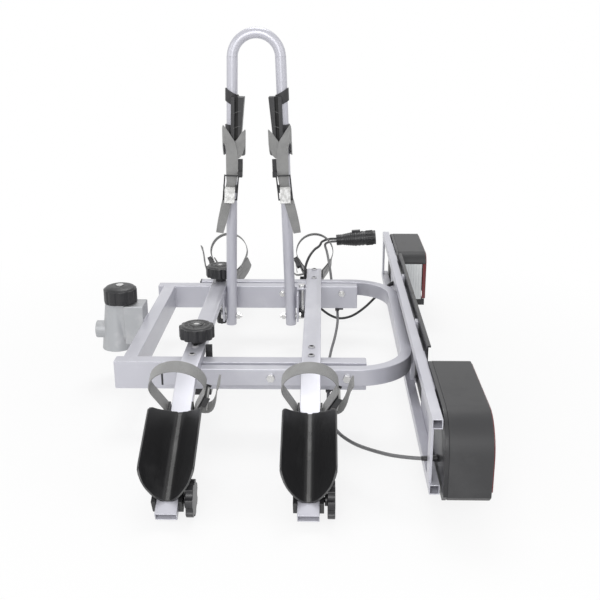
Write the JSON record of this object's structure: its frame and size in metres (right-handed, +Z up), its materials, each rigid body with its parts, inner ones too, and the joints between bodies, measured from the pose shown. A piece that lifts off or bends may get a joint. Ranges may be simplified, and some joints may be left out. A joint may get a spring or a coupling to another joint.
{
  "type": "hitch bike rack",
  "caption": "Towball-mounted platform carrier with sloping wheel rails, strapped wheel trays, a swing-down hoop with frame pads, and a light board.",
  "frame": {"origin": "centre of the 50 mm towball, on the cup's axis", "axes": "+X to the rear of the vehicle, +Y to the far side along the wheel rails, +Z up"},
  "size_m": [0.682, 1.09, 0.6668],
  "materials": {
    "frame_paint": "light silver-grey powder coat, satin",
    "bright_zinc": "zinc-plated fasteners and small plates",
    "cast_alloy": "cast and coated, slightly rough",
    "black_plastic": "moulded, fine grain",
    "dark_bracket": "black coated steel",
    "webbing": "grey webbing",
    "buckle_steel": "pressed bright levers",
    "hood_plastic": "grey lamp hood, fine grain",
    "lens_red": "deep red, clear moulding",
    "window_clear": "clear number plate window",
    "cable_rubber": "smooth cable sheath"
  },
  "bodies": {
    "frame": {"side_beams": "frame_paint", "front_crossbar": "frame_paint", "rear_bow": "frame_paint", "bow_end_plugs": "black_plastic", "frame_bolts": "bright_zinc", "rear_rail": "frame_paint", "rear_rail_screws": "bright_zinc", "coupling_housing": "cast_alloy", "adjuster_bolt": "bright_zinc", "hoop_brackets": "bright_zinc", "hoop_bolts": "bright_zinc", "light_bars": "frame_paint", "light_bar_struts": "bright_zinc", "plate_holder": "black_plastic", "lamp_bases": "black_plastic", "lamp_hoods": "hood_plastic", "lamp_lenses": "lens_red", "lamp_windows": "window_clear", "cable_clips": "black_plastic", "near_lamp_lead": "cable_rubber", "far_lamp_lead": "cable_rubber", "trailer_plug": "black_plastic"},
    "front_wheel_rail": {"front_rail": "frame_paint", "front_rail_screws": "bright_zinc"},
    "near_clamp_knob": {"near_rail_knob": "black_plastic"},
    "far_clamp_knob": {"far_rail_knob": "black_plastic"},
    "near_clamp_claw": {"near_rail_claw": "dark_bracket"},
    "far_clamp_claw": {"far_rail_claw": "dark_bracket"},
    "coupling_wheel": {"coupling_knob": "black_plastic", "coupling_spindle": "bright_zinc"},
    "pressure_pad": {"ball_pad": "cast_alloy"},
    "swing_hoop": {"hoop": "frame_paint"},
    "left_pad": {"left_frame_pad": "black_plastic", "left_pad_strap": "webbing", "left_pad_buckle": "dark_bracket"},
    "right_pad": {"right_frame_pad": "black_plastic", "right_pad_strap": "webbing", "right_pad_buckle": "dark_bracket"},
    "left_cam": {"left_pad_lever": "buckle_steel"},
    "right_cam": {"right_pad_lever": "buckle_steel"},
    "holder_front_near": {"tray_front_near": "black_plastic", "strap_front_near": "webbing", "buckle_front_near": "black_plastic"},
    "clamp_front_near": {"knob_front_near": "black_plastic"},
    "cam_front_near": {"lever_front_near": "buckle_steel"},
    "holder_front_far": {"tray_front_far": "black_plastic", "strap_front_far": "webbing", "buckle_front_far": "black_plastic"},
    "clamp_front_far": {"knob_front_far": "black_plastic"},
    "cam_front_far": {"lever_front_far": "buckle_steel"},
    "holder_rear_near": {"tray_rear_near": "black_plastic", "strap_rear_near": "webbing", "buckle_rear_near": "black_plastic"},
    "clamp_rear_near": {"knob_rear_near": "black_plastic"},
    "cam_rear_near": {"lever_rear_near": "buckle_steel"},
    "holder_rear_far": {"tray_rear_far": "black_plastic", "strap_rear_far": "webbing", "buckle_rear_far": "black_plastic"},
    "clamp_rear_far": {"knob_rear_far": "black_plastic"},
    "cam_rear_far": {"lever_rear_far": "buckle_steel"}
  },
  "joints": [
    {"name": "front_rail_slide", "type": "slide", "parent": "frame", "child": "front_wheel_rail", "axis": [1, 0, 0], "range_m": [-0.06, 0]},
    {"name": "near_clamp_turn", "type": "hinge", "parent": "front_wheel_rail", "child": "near_clamp_knob", "pos_m": [0.1845, -0.175, 0.0653], "axis": [0, 0, -1], "range_deg": [-720, 408]},
    {"name": "near_claw_lift", "type": "slide", "parent": "front_wheel_rail", "child": "near_clamp_claw", "axis": [0, 0, 1], "range_m": [-0.00305, 0.00175]},
    {"name": "far_clamp_turn", "type": "hinge", "parent": "front_wheel_rail", "child": "far_clamp_knob", "pos_m": [0.1845, 0.196, 0.0653], "axis": [0, 0, -1], "range_deg": [-720, 408]},
    {"name": "far_claw_lift", "type": "slide", "parent": "front_wheel_rail", "child": "far_clamp_claw", "axis": [0, 0, 1], "range_m": [-0.00305, 0.00175]},
    {"name": "coupling_turn", "type": "hinge", "parent": "frame", "child": "coupling_wheel", "pos_m": [0.011, 0, 0.083], "axis": [0, 0, -1], "range_deg": [0, 1050]},
    {"name": "pad_press", "type": "slide", "parent": "frame", "child": "pressure_pad", "axis": [0, 0, -1], "range_m": [0, 0.0044]},
    {"name": "hoop_swing", "type": "hinge", "parent": "frame", "child": "swing_hoop", "pos_m": [0.2734, 0.161, -0.003], "axis": [1, 0, 0], "range_deg": [0, 55]},
    {"name": "left_pad_slide", "type": "slide", "parent": "swing_hoop", "child": "left_pad", "axis": [0.0307, 0, 0.9995], "range_m": [-0.02, 0.04]},
    {"name": "left_cam_press", "type": "hinge", "parent": "left_pad", "child": "left_cam", "pos_m": [0.21718, 0.1264, 0.2829], "axis": [0.9995, 0, -0.0307], "range_deg": [0, 9], "stiffness_Nm_per_rad": 0.05},
    {"name": "right_pad_slide", "type": "slide", "parent": "swing_hoop", "child": "right_pad", "axis": [-0.0307, 0, 0.9995], "range_m": [-0.02, 0.04]},
    {"name": "right_cam_press", "type": "hinge", "parent": "right_pad", "child": "right_cam", "pos_m": [0.32962, 0.1264, 0.2829], "axis": [0.9995, 0, 0.0307], "range_deg": [0, 9], "stiffness_Nm_per_rad": 0.05},
    {"name": "tray_slide_front_near", "type": "slide", "parent": "front_wheel_rail", "child": "holder_front_near", "axis": [0, -0.8988, -0.4384], "range_m": [-0.025, 0.005]},
    {"name": "tray_clamp_turn_front_near", "type": "hinge", "parent": "holder_front_near", "child": "clamp_front_near", "pos_m": [0.1998, -0.50422, -0.04753], "axis": [1, 0, 0], "range_deg": [-720, 90]},
    {"name": "strap_cam_press_front_near", "type": "hinge", "parent": "holder_front_near", "child": "cam_front_near", "pos_m": [0.22814, -0.37635, 0.05985], "axis": [0, 0.8988, 0.4384], "range_deg": [0, 12], "stiffness_Nm_per_rad": 0.05},
    {"name": "tray_slide_front_far", "type": "slide", "parent": "front_wheel_rail", "child": "holder_front_far", "axis": [0, 0.8988, -0.4384], "range_m": [-0.025, 0.005]},
    {"name": "tray_clamp_turn_front_far", "type": "hinge", "parent": "holder_front_far", "child": "clamp_front_far", "pos_m": [0.1672, 0.50422, -0.04753], "axis": [-1, 0, 0], "range_deg": [-720, 90]},
    {"name": "strap_cam_press_front_far", "type": "hinge", "parent": "holder_front_far", "child": "cam_front_far", "pos_m": [0.13886, 0.37635, 0.05985], "axis": [0, -0.8988, 0.4384], "range_deg": [0, 12], "stiffness_Nm_per_rad": 0.05},
    {"name": "tray_slide_rear_near", "type": "slide", "parent": "frame", "child": "holder_rear_near", "axis": [0, -0.8988, -0.4384], "range_m": [-0.025, 0.005]},
    {"name": "tray_clamp_turn_rear_near", "type": "hinge", "parent": "holder_rear_near", "child": "clamp_rear_near", "pos_m": [0.4028, -0.50422, -0.04783], "axis": [1, 0, 0], "range_deg": [-720, 90]},
    {"name": "strap_cam_press_rear_near", "type": "hinge", "parent": "holder_rear_near", "child": "cam_rear_near", "pos_m": [0.43114, -0.37635, 0.05955], "axis": [0, 0.8988, 0.4384], "range_deg": [0, 12], "stiffness_Nm_per_rad": 0.05},
    {"name": "tray_slide_rear_far", "type": "slide", "parent": "frame", "child": "holder_rear_far", "axis": [0, 0.8988, -0.4384], "range_m": [-0.025, 0.005]},
    {"name": "tray_clamp_turn_rear_far", "type": "hinge", "parent": "holder_rear_far", "child": "clamp_rear_far", "pos_m": [0.3702, 0.50422, -0.04783], "axis": [-1, 0, 0], "range_deg": [-720, 90]},
    {"name": "strap_cam_press_rear_far", "type": "hinge", "parent": "holder_rear_far", "child": "cam_rear_far", "pos_m": [0.34186, 0.37635, 0.05955], "axis": [0, -0.8988, 0.4384], "range_deg": [0, 12], "stiffness_Nm_per_rad": 0.05}
  ],
  "couplings": [
    {"joint": "near_claw_lift", "follows": "near_clamp_turn", "m_per_rad": 0.00023873},
    {"joint": "far_claw_lift", "follows": "far_clamp_turn", "m_per_rad": 0.00023873},
    {"joint": "pad_press", "follows": "coupling_turn", "m_per_rad": 0.00023873}
  ]
}
